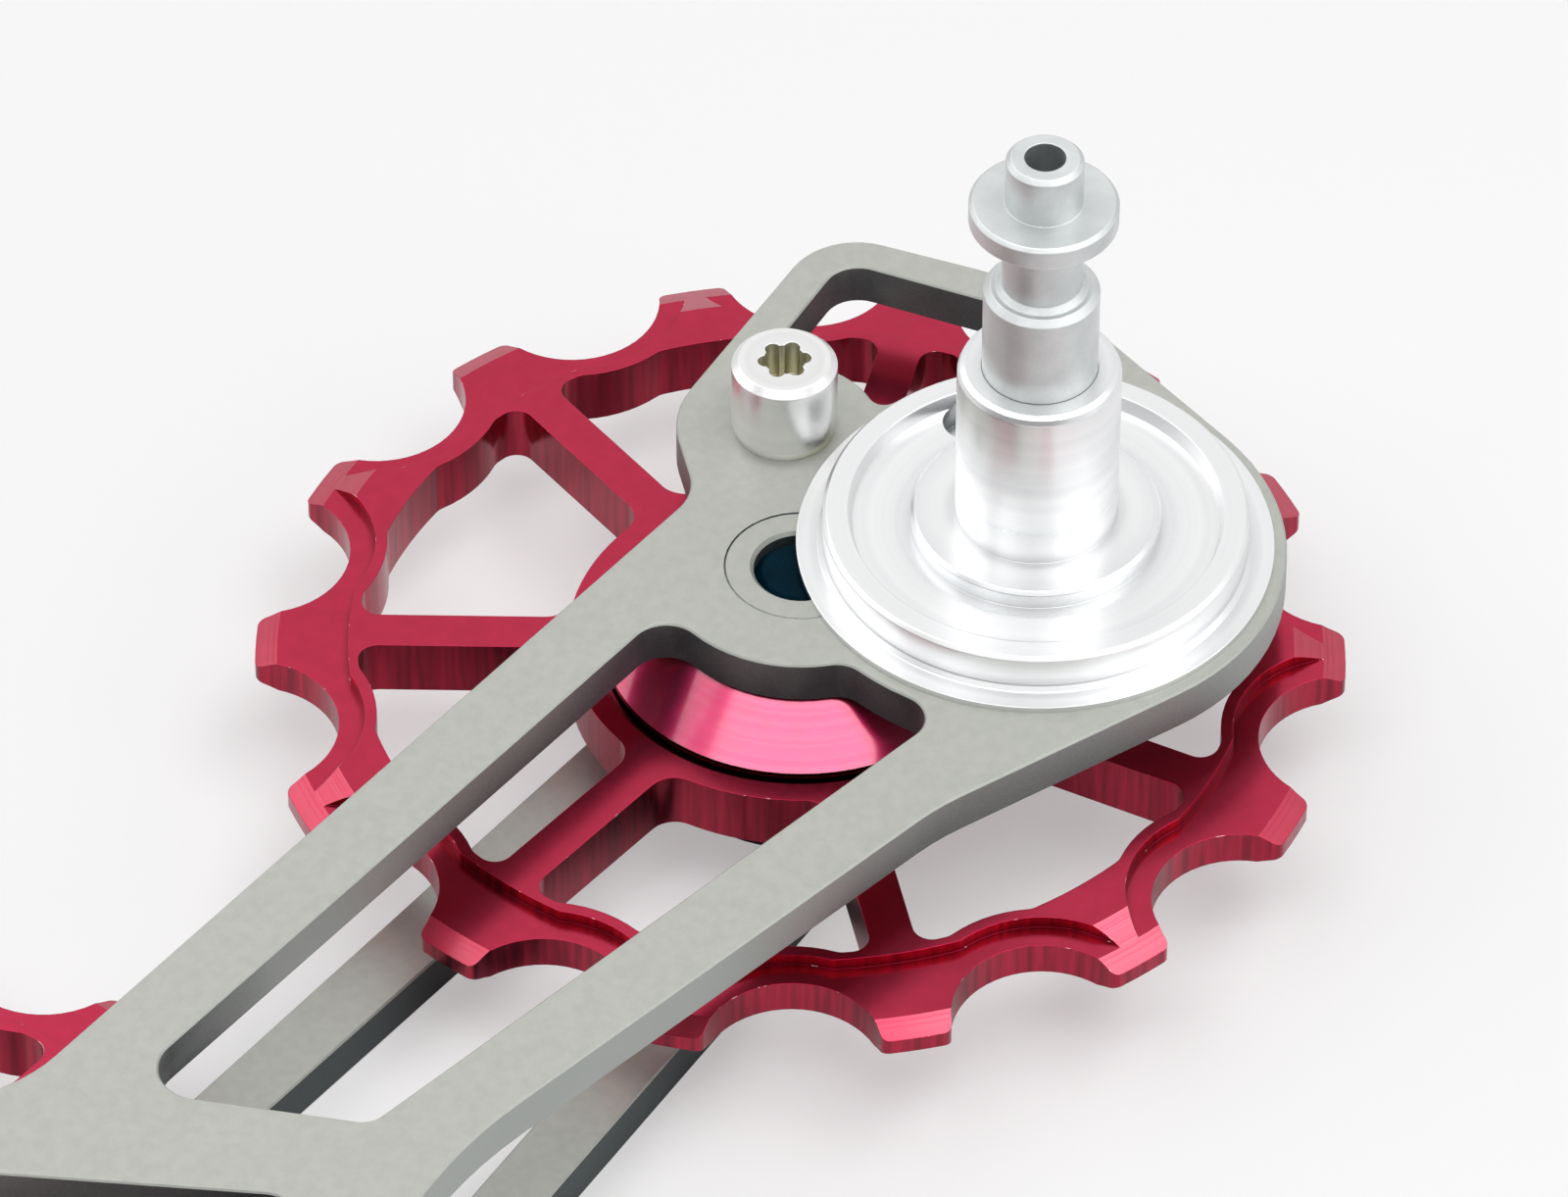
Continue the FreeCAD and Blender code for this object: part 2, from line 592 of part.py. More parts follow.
def axle_nut(axle):
    bore = BOLT_R + PRESS
    profile = [(bore, OUTER_LOW - NUT_NECK), (NUT_NECK_R, OUTER_LOW - NUT_NECK), (NUT_NECK_R, OUTER_LOW),
               (NUT_R, OUTER_LOW), (NUT_R, OUTER_TOP - NUT_BREAK), (NUT_R - NUT_BREAK, OUTER_TOP),
               (bore + NUT_BORE_BREAK, OUTER_TOP), (bore, OUTER_TOP - NUT_BORE_BREAK)]
    return turned(profile, axle)


# Write one file for each node

os.makedirs("parts", exist_ok=True)
save("outer_plate", [outer_plate()])
save("inner_plate", [inner_plate()])
save("pivot_boss", [pivot_boss()])
save("pivot_pin", [pivot_pin()])
save("stop_pin", [stop_pin()])
save("axle_bolts", [axle_bolt(a) for a in AXLES])
save("axle_nuts", [axle_nut(a) for a in AXLES])
save("outer_caps", [cap(a, True) for a in AXLES])
save("inner_caps", [cap(a, False) for a in AXLES])
save("inner_races", [inner_race(a) for a in AXLES])
for name, axle, teeth, turn in (("upper", UPPER_AXLE, UPPER_TEETH, UPPER_TURN),
                                ("lower", LOWER_AXLE, LOWER_TEETH, LOWER_TURN)):
    save(name + "_pulley", [pulley(teeth, turn, axle)])
    save(name + "_outer_race", [outer_race(axle)])
    save(name + "_seals", seals(axle))
    save(name + "_balls", balls(axle))
    save(name + "_retainer", [retainer(axle)])
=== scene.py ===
# %% [markdown]
# # A derailleur pulley cage, dressed for its picture
# The object is a bicycle part: two grey anodised arms, two crimson toothed wheels, a bright turned boss
# and a steel pivot pin. The solids come ready made from the construction model, so this lesson is about
# finishes, light and the camera. We load the solids first and keep the size of their box, because
# nothing that is added later may make the object larger.

# %% Load the solids
import json
import math

import bpy
from mathutils import Matrix, Vector


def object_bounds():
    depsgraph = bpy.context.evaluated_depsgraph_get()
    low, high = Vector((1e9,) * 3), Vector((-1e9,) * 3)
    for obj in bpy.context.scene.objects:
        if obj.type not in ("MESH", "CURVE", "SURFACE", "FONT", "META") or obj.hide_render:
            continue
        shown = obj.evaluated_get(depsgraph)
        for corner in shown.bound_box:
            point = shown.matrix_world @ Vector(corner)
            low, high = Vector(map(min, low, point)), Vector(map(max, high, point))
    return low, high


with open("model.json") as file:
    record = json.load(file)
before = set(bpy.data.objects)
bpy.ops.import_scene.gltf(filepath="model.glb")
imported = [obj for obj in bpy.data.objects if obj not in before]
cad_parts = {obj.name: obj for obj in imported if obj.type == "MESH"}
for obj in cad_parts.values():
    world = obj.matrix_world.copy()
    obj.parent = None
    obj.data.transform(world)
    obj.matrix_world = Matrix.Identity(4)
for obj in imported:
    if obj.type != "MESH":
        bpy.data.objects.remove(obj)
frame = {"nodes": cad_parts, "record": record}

MM = 0.001
cad_low, cad_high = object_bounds()
nodes = frame["nodes"]
print("nodes:", len(nodes), "box in mm:", [round((b - a) / MM, 2) for a, b in zip(cad_low, cad_high)])

# %% [markdown]
# ## Looking from the photographer's place
# The picture was taken with a long lens from about 44 degrees above the table. A camera can be aimed by a
# tracking constraint, but here its three axes are worked out one by one, so that the small roll of the
# hand-held camera can be put in as well.

# %% Camera
IMAGE_WIDTH = 1600
FOCAL_PIXELS = 11037.2
SENSOR = 36.0
AIM = Vector((-6.574, 11.458, -8.491)) * MM
DISTANCE = 569.48 * MM
AZIMUTH = math.radians(-52.16)
ELEVATION = math.radians(44.03)
ROLL = math.radians(0.245)

back = Vector((math.sin(AZIMUTH) * math.cos(ELEVATION), -math.cos(AZIMUTH) * math.cos(ELEVATION),
               math.sin(ELEVATION)))
level = Vector((math.cos(AZIMUTH), math.sin(AZIMUTH), 0))
rise = back.cross(level)
right = math.cos(ROLL) * level + math.sin(ROLL) * rise
up = math.cos(ROLL) * rise - math.sin(ROLL) * level

lens = bpy.data.cameras.new("long_lens")
lens.sensor_fit = "HORIZONTAL"
lens.sensor_width = SENSOR
lens.lens = FOCAL_PIXELS / IMAGE_WIDTH * SENSOR
lens.clip_start = 0.01
lens.clip_end = 20.0
camera = bpy.data.objects.new("camera", lens)
bpy.context.scene.collection.objects.link(camera)
axes = Matrix((right, up, back)).transposed().to_4x4()
camera.matrix_world = Matrix.Translation(AIM + DISTANCE * back) @ axes
bpy.context.scene.camera = camera
stand = [round(v / MM, 1) for v in camera.matrix_world.translation]
print("lens", round(lens.lens, 1), "mm, camera at", stand, "mm")

# %% [markdown]
# ## Small helpers for node trees
# Every finish below is a tree of shader nodes. Writing each link on its own line makes long scripts, so
# one helper makes a node and fills its inputs: a socket is linked, and anything else is set as a value.
# An input goes by its label, or by i and its number where labels repeat. The other helpers are the few
# nodes that come back again and again: arithmetic, a step with vectors, a change of range, a colour blend.


# %% Node helpers
def put(tree, kind, settings=None, **inputs):
    made = tree.nodes.new(kind)
    for name, value in (settings or {}).items():
        setattr(made, name, value)
    for name, value in inputs.items():
        numbered = name[0] == "i" and name[1:].isdigit()
        key = int(name[1:]) if numbered else name.replace("_", " ")
        if isinstance(value, bpy.types.NodeSocket):
            tree.links.new(value, made.inputs[key])
        else:
            made.inputs[key].default_value = value
    return made


def reckon(tree, operation, a, b=0.0):
    return put(tree, "ShaderNodeMath", {"operation": operation}, i0=a, i1=b).outputs[0]


def vector_step(tree, operation, a, b=(0.0, 0.0, 0.0)):
    made = put(tree, "ShaderNodeVectorMath", {"operation": operation}, i0=a, i1=b)
    return made.outputs["Value" if operation in ("DOT_PRODUCT", "LENGTH") else "Vector"]


def spread(tree, value, low, high, to_low=0.0, to_high=1.0):
    made = put(tree, "ShaderNodeMapRange", {"clamp": True}, Value=value, From_Min=low, From_Max=high,
               To_Min=to_low, To_Max=to_high)
    return made.outputs[0]


def blend_colour(tree, share, first, second):
    made = put(tree, "ShaderNodeMix", {"data_type": "RGBA"}, i0=share, i6=first, i7=second)
    return made.outputs[2]


print("node helpers ready")

# %% [markdown]
# ## Helpers for shared effects
# Wear, grain and tool marks are used by more than one finish, so each is a node group: built once, with
# named inputs, and placed in each material that needs it with that material's own values. Every pattern is
# laid out by the piece's own coordinates, so it keeps its place when a wheel turns.


# %% Group helpers
FLOAT, VECTOR = "NodeSocketFloat", "NodeSocketVector"


def new_group(name, wanted, given):
    group = bpy.data.node_groups.new(name, "ShaderNodeTree")
    for label, kind, value in wanted:
        socket = group.interface.new_socket(label, in_out="INPUT", socket_type=kind)
        socket.default_value = value
    for label, kind in given:
        group.interface.new_socket(label, in_out="OUTPUT", socket_type=kind)
    return group, group.nodes.new("NodeGroupInput").outputs, group.nodes.new("NodeGroupOutput").inputs


def placed(tree, group, **inputs):
    return put(tree, "ShaderNodeGroup", {"node_tree": group}, **inputs).outputs


def own_place(tree):
    return tree.nodes.new("ShaderNodeTexCoord").outputs["Object"]


print("group helpers ready")

# %% [markdown]
# ## Broken edges
# No machined edge is perfectly sharp: deburring leaves a narrow round that catches the light, and handling
# knocks small pale nicks into the colour. A modifier could round the mesh, but the Bevel node does it in
# the shading alone and leaves the solids as they are. Where the rounded normal leaves the true one, there
# is an edge.

# %% Edge group
EDGE_STARTS, EDGE_FULL = 0.995, 0.90

edge_group, have, give = new_group(
    "broken_edge",
    [("Width", FLOAT, 0.0001), ("Nick Scale", FLOAT, 900.0), ("Nick Share", FLOAT, 0.3)],
    [("Edge", FLOAT), ("Nicks", FLOAT), ("Normal", VECTOR)])
round_over = put(edge_group, "ShaderNodeBevel", {"samples": 6}, Radius=have["Width"]).outputs[0]
true_normal = edge_group.nodes.new("ShaderNodeNewGeometry").outputs["Normal"]
agreement = vector_step(edge_group, "DOT_PRODUCT", round_over, true_normal)
edge = spread(edge_group, agreement, EDGE_STARTS, EDGE_FULL)
place = own_place(edge_group)
knocks = put(edge_group, "ShaderNodeTexNoise", Vector=place, Scale=have["Nick Scale"], Detail=2.0)
limit = reckon(edge_group, "SUBTRACT", 1.0, have["Nick Share"])
knocked = reckon(edge_group, "GREATER_THAN", knocks.outputs[0], limit)
edge_group.links.new(edge, give["Edge"])
edge_group.links.new(reckon(edge_group, "MULTIPLY", edge, knocked), give["Nicks"])
edge_group.links.new(round_over, give["Normal"])
print("group", edge_group.name, "with", len(edge_group.nodes), "nodes")

# %% [markdown]
# ## Bead-blasted grain
# The arms were blasted with fine beads before they were anodised, which leaves a skin of tiny dimples and
# a faint mottle. Noise in three dimensions needs no unwrapping, so it suits the solids as they come.

# %% Grain group
grain_group, have, give = new_group(
    "blasted_grain",
    [("Grain Scale", FLOAT, 7000.0), ("Mottle Scale", FLOAT, 350.0)],
    [("Height", FLOAT), ("Mottle", FLOAT)])
place = own_place(grain_group)
dimples = put(grain_group, "ShaderNodeTexNoise", Vector=place, Scale=have["Grain Scale"], Detail=2.0)
clouds = put(grain_group, "ShaderNodeTexNoise", Vector=place, Scale=have["Mottle Scale"], Detail=4.0)
grain_group.links.new(dimples.outputs[0], give["Height"])
grain_group.links.new(clouds.outputs[0], give["Mottle"])
print("group", grain_group.name, "with", len(grain_group.nodes), "nodes")

# %% [markdown]
# ## Rings left by the lathe
# The boss, the stop pin, the caps and the teeth's slants are turned, so the tool leaves rings round the
# axis: on a face they count with the radius, on a barrel with the height. Radius plus height therefore
# serves both, with one noise in one dimension. Where a node holds pieces on two axles, the nearer counts.

# %% Turning group
turning_group, have, give = new_group(
    "lathe_rings",
    [("Axis", VECTOR, (0.0, 0.0, 0.0)), ("Second Axis", VECTOR, (0.0, 0.0, 0.0)),
     ("Fine", FLOAT, 14000.0), ("Bands", FLOAT, 900.0)],
    [("Height", FLOAT), ("Tone", FLOAT)])
place = own_place(turning_group)
reaches = []
for axle in ("Axis", "Second Axis"):
    off_axis = vector_step(turning_group, "SUBTRACT", place, have[axle])
    in_plan = vector_step(turning_group, "MULTIPLY", off_axis, (1.0, 1.0, 0.0))
    reaches.append(vector_step(turning_group, "LENGTH", in_plan))
along = put(turning_group, "ShaderNodeSeparateXYZ", i0=place).outputs[2]
run_out = reckon(turning_group, "ADD", reckon(turning_group, "MINIMUM", *reaches), along)
for wanted, rate in (("Height", "Fine"), ("Tone", "Bands")):
    rings = put(turning_group, "ShaderNodeTexNoise", {"noise_dimensions": "1D"},
                W=run_out, Scale=have[rate], Detail=2.0)
    turning_group.links.new(rings.outputs[0], give[wanted])
print("group", turning_group.name, "with", len(turning_group.nodes), "nodes")

# %% [markdown]
# ## Streaks left by the end mill
# The wheels' windows and gullets are cut by the side of an end mill, which leaves upright streaks on the
# walls. Noise that hardly changes with height gives streaks on a wall, and a fine grain on a level face.

# %% Milling group
TONE_COARSENESS = 0.35

milling_group, have, give = new_group(
    "mill_streaks",
    [("Streak Scale", FLOAT, 3500.0), ("Stretch", FLOAT, 0.04)],
    [("Height", FLOAT), ("Tone", FLOAT)])
parts = put(milling_group, "ShaderNodeSeparateXYZ", i0=own_place(milling_group)).outputs
low_z = reckon(milling_group, "MULTIPLY", parts[2], have["Stretch"])
drawn = put(milling_group, "ShaderNodeCombineXYZ", i0=parts[0], i1=parts[1], i2=low_z).outputs[0]
for wanted, share in (("Height", 1.0), ("Tone", TONE_COARSENESS)):
    rate = reckon(milling_group, "MULTIPLY", have["Streak Scale"], share)
    streaks = put(milling_group, "ShaderNodeTexNoise", Vector=drawn, Scale=rate, Detail=3.0)
    milling_group.links.new(streaks.outputs[0], give[wanted])
print("group", milling_group.name, "with", len(milling_group.nodes), "nodes")

# %% [markdown]
# ## Level faces, slants, walls and holes
# One part often carries several finishes: faces are blasted or turned, walls are left from the end mill,
# and slants were cut last. The bottoms of the boss's holes, narrow creases and walls deep in windows get a
# painted shade. The upright share of the surface's own normal tells faces, slants and walls apart, and the
# Ambient Occlusion node tells how sheltered a place is, which sets where the painted shade goes. Both stay
# on the surface when the object moves.

# %% Shelter group
FACE_LIFT, WALL_LIFT = 0.85, 0.35
SLANT_UNDER_FACE = (0.995, 0.96)
SLANT_OVER_WALL = (0.20, 0.35)

shelter_group, have, give = new_group(
    "sheltered_wall",
    [("Reach", FLOAT, 0.006), ("Closed", FLOAT, 0.35), ("Open", FLOAT, 0.75)],
    [("Shelter", FLOAT), ("Wall", FLOAT), ("Slant", FLOAT)])
around = put(shelter_group, "ShaderNodeAmbientOcclusion", {"samples": 8}, Distance=have["Reach"])
shelter = spread(shelter_group, around.outputs["AO"], have["Open"], have["Closed"])
shelter_group.links.new(shelter, give["Shelter"])
true_normal = shelter_group.nodes.new("ShaderNodeNewGeometry").outputs["True Normal"]
upright = put(shelter_group, "ShaderNodeSeparateXYZ", i0=true_normal).outputs[2]
lift = reckon(shelter_group, "ABSOLUTE", upright)
shelter_group.links.new(spread(shelter_group, lift, FACE_LIFT, WALL_LIFT), give["Wall"])
slant = reckon(shelter_group, "MULTIPLY", spread(shelter_group, lift, *SLANT_UNDER_FACE),
               spread(shelter_group, lift, *SLANT_OVER_WALL))
shelter_group.links.new(slant, give["Slant"])
print("group", shelter_group.name, "with", len(shelter_group.nodes), "nodes")

# %% [markdown]
# ## Starting a finish
# All finishes here are metals or dark skins under one Principled shader. The starter makes the shader and
# sets what stays the same all over on its own sockets. Wearing a finish clears the node's plain material
# first. Noise keeps near its middle value, so the finishes spread a narrow span of it over their range.


# %% Finish helpers
NARROW = (0.35, 0.65)
WIDE = (0.3, 0.7)


def new_finish(name, metallic=1.0, **constants):
    material = bpy.data.materials.new(name)
    material.use_nodes = True
    tree = material.node_tree
    tree.nodes.clear()
    shader = put(tree, "ShaderNodeBsdfPrincipled", Metallic=metallic, **constants)
    out = tree.nodes.new("ShaderNodeOutputMaterial")
    tree.links.new(shader.outputs[0], out.inputs["Surface"])
    return material, tree, shader


def bumped(tree, shader, height, normal, depth, strength):
    made = put(tree, "ShaderNodeBump", Height=height, Normal=normal, Distance=depth, Strength=strength)
    tree.links.new(made.outputs[0], shader.inputs["Normal"])


def tinted(tree, tone, colour, mask, cover):
    return blend_colour(tree, reckon(tree, "MULTIPLY", mask, cover), tone, colour)


def wear(material, *names):
    for name in names:
        piece = nodes[name]
        piece.data.materials.clear()
        piece.data.materials.append(material)
    print(material.name, "on", ", ".join(names))


print("finish helpers ready")

# %% [markdown]
# ## Grey anodised arms
# The two plates are cut from sheet, blasted and anodised to a warm grey. The blasted skin mirrors its
# surroundings only softly, so the shader is part metal and part plain colour, with a middling roughness.
# The walls are duller than the faces, and the ones deep in the windows get a near-black painted shade. A
# mask by hand could mark those, but how sheltered a wall is already tells them from the open flanks.

# %% Grey plates
GREY_LIGHT = (0.497, 0.506, 0.468, 1.0)
GREY_DARK = (0.459, 0.469, 0.433, 1.0)
GREY_WALL = (0.40, 0.425, 0.405, 1.0)
GREY_PAINTED_SHADE = (0.058, 0.072, 0.074, 1.0)
GREY_NICK = (0.78, 0.78, 0.74, 1.0)
FACE_METAL, WALL_METAL = 0.40, 0.12
WALL_DULLER = 0.12

grey, tree, shader = new_finish("grey_anodise", Specular_IOR_Level=0.3)
edges = placed(tree, edge_group, Width=0.00005, Nick_Scale=700.0, Nick_Share=0.36)
grains = placed(tree, grain_group, Grain_Scale=6500.0, Mottle_Scale=1600.0)
walls = placed(tree, shelter_group, Reach=0.010, Closed=0.76, Open=0.97)
tone = blend_colour(tree, spread(tree, grains["Mottle"], *NARROW), GREY_DARK, GREY_LIGHT)
# painted shade: the more sheltered a wall is, the nearer its grey goes to near-black
wall_tone_and_painted_shade = blend_colour(tree, walls["Shelter"], GREY_WALL, GREY_PAINTED_SHADE)
tone = blend_colour(tree, walls["Wall"], tone, wall_tone_and_painted_shade)
tone = tinted(tree, tone, GREY_NICK, edges["Nicks"], cover=0.6)
tree.links.new(tone, shader.inputs["Base Color"])
tree.links.new(spread(tree, walls["Wall"], 0.0, 1.0, FACE_METAL, WALL_METAL), shader.inputs["Metallic"])
blasted = spread(tree, grains["Height"], *WIDE, to_low=0.36, to_high=0.46)
duller = reckon(tree, "MULTIPLY", walls["Wall"], WALL_DULLER)
tree.links.new(reckon(tree, "ADD", blasted, duller), shader.inputs["Roughness"])
bumped(tree, shader, grains["Height"], edges["Normal"], depth=0.00001, strength=0.35)
wear(grey, "outer_plate", "inner_plate")

# %% [markdown]
# ## Crimson anodised wheels and caps
# The wheels are milled from aluminium and dyed crimson. The clear oxide over the dye gives a second, white
# reflection: that is why lit slants look pink and not only a lighter red. A coat on a red metal does the
# same. The slants were turned last, so their coat is stronger and lined by the tool's rings. The caps are
# cut finer than the wheels, so their coat is clearer and hardly lined. The walls show the mill's dark
# streaks, and a painted shade darkens the narrow creases under the thinned teeth.

# %% Crimson colours
RED_LIGHT = (0.495, 0.013, 0.058, 1.0)
RED_DARK = (0.445, 0.011, 0.050, 1.0)
CAP_LIGHT = (0.50, 0.012, 0.100, 1.0)
CAP_DARK = (0.42, 0.009, 0.080, 1.0)
RED_NICK = (0.90, 0.60, 0.63, 1.0)
RED_WALL = (0.42, 0.010, 0.044, 1.0)
RED_STREAK = (0.22, 0.006, 0.024, 1.0)
RED_PAINTED_SHADE = (0.05, 0.002, 0.006, 1.0)
OXIDE_IOR = 2.0
SLANT_DULLER = 0.12
RING_DEPTH = 1.2

joints = frame["record"]["behaviour"]["joints"]
axles = [joint["pos_m"] for joint in joints if joint["name"].endswith("wheel_spin")]
print("wheels turn about", axles)


# %% Crimson finish
def crimson(name, light, dark, smooth, rough, coat, slant_coat, coat_blur, lining):
    material, tree, shader = new_finish(name, Coat_Roughness=coat_blur, Coat_IOR=OXIDE_IOR)
    edges = placed(tree, edge_group, Width=0.00006, Nick_Scale=1500.0, Nick_Share=0.33)
    marks = placed(tree, milling_group, Streak_Scale=2600.0, Stretch=0.05)
    rings = placed(tree, turning_group, Axis=axles[0], Second_Axis=axles[1], Fine=13000.0, Bands=1500.0)
    walls = placed(tree, shelter_group)
    painted_shade_corners = placed(tree, shelter_group, Reach=0.0012, Closed=0.35, Open=0.75)
    tone = blend_colour(tree, spread(tree, marks["Tone"], *WIDE), dark, light)
    streaked = blend_colour(tree, spread(tree, marks["Height"], *NARROW), RED_STREAK, RED_WALL)
    tone = blend_colour(tree, walls["Wall"], tone, streaked)
    # painted shade: narrow creases found by ambient occlusion darken to a near-black red
    tone = tinted(tree, tone, RED_PAINTED_SHADE, painted_shade_corners["Shelter"], cover=0.85)
    tone = tinted(tree, tone, RED_NICK, edges["Nicks"], cover=0.8)
    tree.links.new(tone, shader.inputs["Base Color"])
    least, most = (1.0 - lining) * slant_coat, (1.0 + lining) * slant_coat
    lined = spread(tree, rings["Height"], *NARROW, least, most)
    skin = put(tree, "ShaderNodeMix", i0=walls["Slant"], i2=coat, i3=lined)
    tree.links.new(skin.outputs[0], shader.inputs["Coat Weight"])
    satin = spread(tree, marks["Height"], *WIDE, smooth, rough)
    duller = reckon(tree, "MULTIPLY", walls["Slant"], SLANT_DULLER)
    tree.links.new(reckon(tree, "ADD", satin, duller), shader.inputs["Roughness"])
    cut = reckon(tree, "MULTIPLY", marks["Height"], walls["Wall"])
    off_wall = spread(tree, walls["Wall"], 1.0, 0.0, 0.0, RING_DEPTH * lining)
    turned = reckon(tree, "MULTIPLY", rings["Height"], off_wall)
    bumped(tree, shader, reckon(tree, "ADD", cut, turned), edges["Normal"], depth=0.000012, strength=0.4)
    return material


wheel_red = crimson("red_anodise", RED_LIGHT, RED_DARK, smooth=0.20, rough=0.25,
                    coat=0.18, slant_coat=0.47, coat_blur=0.20, lining=0.25)
cap_red = crimson("red_turned", CAP_LIGHT, CAP_DARK, smooth=0.16, rough=0.20,
                  coat=0.30, slant_coat=0.62, coat_blur=0.13, lining=0.08)
wear(wheel_red, "upper_pulley", "lower_pulley")
wear(cap_red, "outer_caps", "inner_caps")

# %% [markdown]
# ## Bright turned boss and stop pin
# Both are left as they come off the lathe: near white, with soft grey bands that follow the tool's rings.
# Painted shade darkens the inner corners and the boss's holes, and the stop pin's socket is oily. Two
# finishes could be written one after the other, but one function with the axis and the tones as inputs keeps
# them alike.

# %% Turned colours
BRIGHT = (0.89, 0.89, 0.89, 1.0)
BANDED = (0.81, 0.82, 0.83, 1.0)
DULL = (0.86, 0.86, 0.85, 1.0)
DULL_BANDED = (0.78, 0.785, 0.78, 1.0)
PAINTED_HOLE_SHADE = (0.03, 0.05, 0.055, 1.0)
PAINTED_CORNER_SHADE = (0.45, 0.46, 0.47, 1.0)
OILY = (0.50, 0.48, 0.34, 1.0)
BOSS_AXIS = (0.0, 0.0, 0.0)
STOP_AXIS = (-0.93 * MM, 15.87 * MM, 0.0)
print("boss turned about", BOSS_AXIS, "stop pin about", STOP_AXIS)


# %% Turned boss and stop pin
def turned_metal(name, axis, pale, banded, hole_shade_and_oil, fine, smooth, rough):
    material, tree, shader = new_finish(name)
    edges = placed(tree, edge_group, Width=0.00008, Nick_Scale=900.0, Nick_Share=0.2)
    rings = placed(tree, turning_group, Axis=axis, Second_Axis=axis, Fine=fine, Bands=900.0)
    hole_shade_and_oil_mask = placed(tree, shelter_group, Reach=0.003, Closed=0.12, Open=0.42)
    painted_shade_corners = placed(tree, shelter_group, Reach=0.0012, Closed=0.30, Open=0.85)
    tone = blend_colour(tree, spread(tree, rings["Tone"], *WIDE), banded, pale)
    # painted shade in the inner corners; the holes take a painted shade on the boss and an oily stain on the
    # stop pin
    tone = tinted(tree, tone, PAINTED_CORNER_SHADE, painted_shade_corners["Shelter"], cover=0.6)
    tone = blend_colour(tree, hole_shade_and_oil_mask["Shelter"], tone, hole_shade_and_oil)
    tree.links.new(tone, shader.inputs["Base Color"])
    tree.links.new(spread(tree, rings["Tone"], *WIDE, smooth, rough), shader.inputs["Roughness"])
    bumped(tree, shader, rings["Height"], edges["Normal"], depth=0.000001, strength=0.3)
    return material


boss = turned_metal("turned_aluminium", BOSS_AXIS, BRIGHT, BANDED, PAINTED_HOLE_SHADE,
                    fine=9000.0, smooth=0.27, rough=0.33)
stop = turned_metal("polished_steel", STOP_AXIS, DULL, DULL_BANDED, OILY,
                    fine=12000.0, smooth=0.29, rough=0.35)
wear(boss, "pivot_boss")
wear(stop, "stop_pin")

# %% [markdown]
# ## Blasted steel pin
# The pivot pin is steel, matt grey from blasting, with paler chamfers where the edges were touched after. It
# takes the arms' grain, coarser and fully metallic, and the edge mask lightens the chamfers.

# %% Steel pin
STEEL_LIGHT = (0.66, 0.68, 0.68, 1.0)
STEEL_DARK = (0.58, 0.60, 0.60, 1.0)
STEEL_EDGE = (0.78, 0.79, 0.79, 1.0)

steel, tree, shader = new_finish("blasted_steel")
edges = placed(tree, edge_group, Width=0.00010, Nick_Scale=900.0, Nick_Share=0.3)
grains = placed(tree, grain_group, Grain_Scale=5200.0, Mottle_Scale=500.0)
tone = blend_colour(tree, spread(tree, grains["Mottle"], *NARROW), STEEL_DARK, STEEL_LIGHT)
tone = tinted(tree, tone, STEEL_EDGE, edges["Edge"], cover=0.6)
tree.links.new(tone, shader.inputs["Base Color"])
matt = spread(tree, grains["Height"], *WIDE, to_low=0.42, to_high=0.54)
tree.links.new(matt, shader.inputs["Roughness"])
bumped(tree, shader, grains["Height"], edges["Normal"], depth=0.000012, strength=0.45)
wear(steel, "pivot_pin")

# %% [markdown]
# ## Nuts, bolts and bearings
# The nut inserts share the arms' grey. The bolts are black oxide, a dark skin with hardly any gloss. The
# bearings are ground steel with black rubber seals and a dark moulded ball retainer. Bolts and bearings are
# a mottled skin with a fine grain, so one function makes them from a light and a dark tone.

# %% Skin colours
OXIDE = ((0.0, 0.016, 0.028, 1.0), (0.0, 0.010, 0.018, 1.0))
RUBBER = ((0.030, 0.030, 0.031, 1.0), (0.015, 0.015, 0.015, 1.0))
MOULDED = ((0.09, 0.085, 0.08, 1.0), (0.05, 0.05, 0.05, 1.0))
GROUND = ((0.74, 0.74, 0.75, 1.0), (0.62, 0.62, 0.63, 1.0))
OXIDE_GLOSS = 0.03
print("skins: oxide, rubber, moulded, ground")


# %% Fasteners and bearings
def mottled_skin(name, tones, smooth, rough, metallic=0.0, gloss=0.5):
    light, dark = tones
    material, tree, shader = new_finish(name, metallic=metallic, Specular_IOR_Level=gloss)
    edges = placed(tree, edge_group, Width=0.00006, Nick_Scale=1200.0, Nick_Share=0.3)
    grains = placed(tree, grain_group, Grain_Scale=6000.0, Mottle_Scale=700.0)
    tone = blend_colour(tree, spread(tree, grains["Mottle"], *NARROW), dark, light)
    tree.links.new(tone, shader.inputs["Base Color"])
    tree.links.new(spread(tree, grains["Height"], *WIDE, smooth, rough), shader.inputs["Roughness"])
    bumped(tree, shader, grains["Height"], edges["Normal"], depth=0.000006, strength=0.3)
    return material


wear(grey, "axle_nuts")
wear(mottled_skin("black_oxide", OXIDE, smooth=0.22, rough=0.34, gloss=OXIDE_GLOSS), "axle_bolts")
wear(mottled_skin("seal_rubber", RUBBER, smooth=0.5, rough=0.7), "upper_seals", "lower_seals")
wear(mottled_skin("moulded_retainer", MOULDED, smooth=0.4, rough=0.6), "upper_retainer", "lower_retainer")
wear(mottled_skin("ground_steel", GROUND, smooth=0.12, rough=0.22, metallic=1.0),
     "inner_races", "upper_outer_race", "lower_outer_race", "upper_balls", "lower_balls")

# %% [markdown]
# ## A white table
# The object lies on a white sweep. A large level sheet is enough for it, because the camera looks down.
# The sheet is diffuse and takes the object's shadow. In the picture the sheet is so well lit that its
# shadows stay pale, so part of what the camera sees is plain white, mixed in by Light Path, which lights
# nothing.

# %% Floor
FLOOR_HALF = 3.0
FLOOR_GAP = 0.00002
SHEET_WHITE = (0.97, 0.967, 0.975, 1.0)
PALE_SHARE = 0.38
WHITE = (1.0, 1.0, 1.0, 1.0)

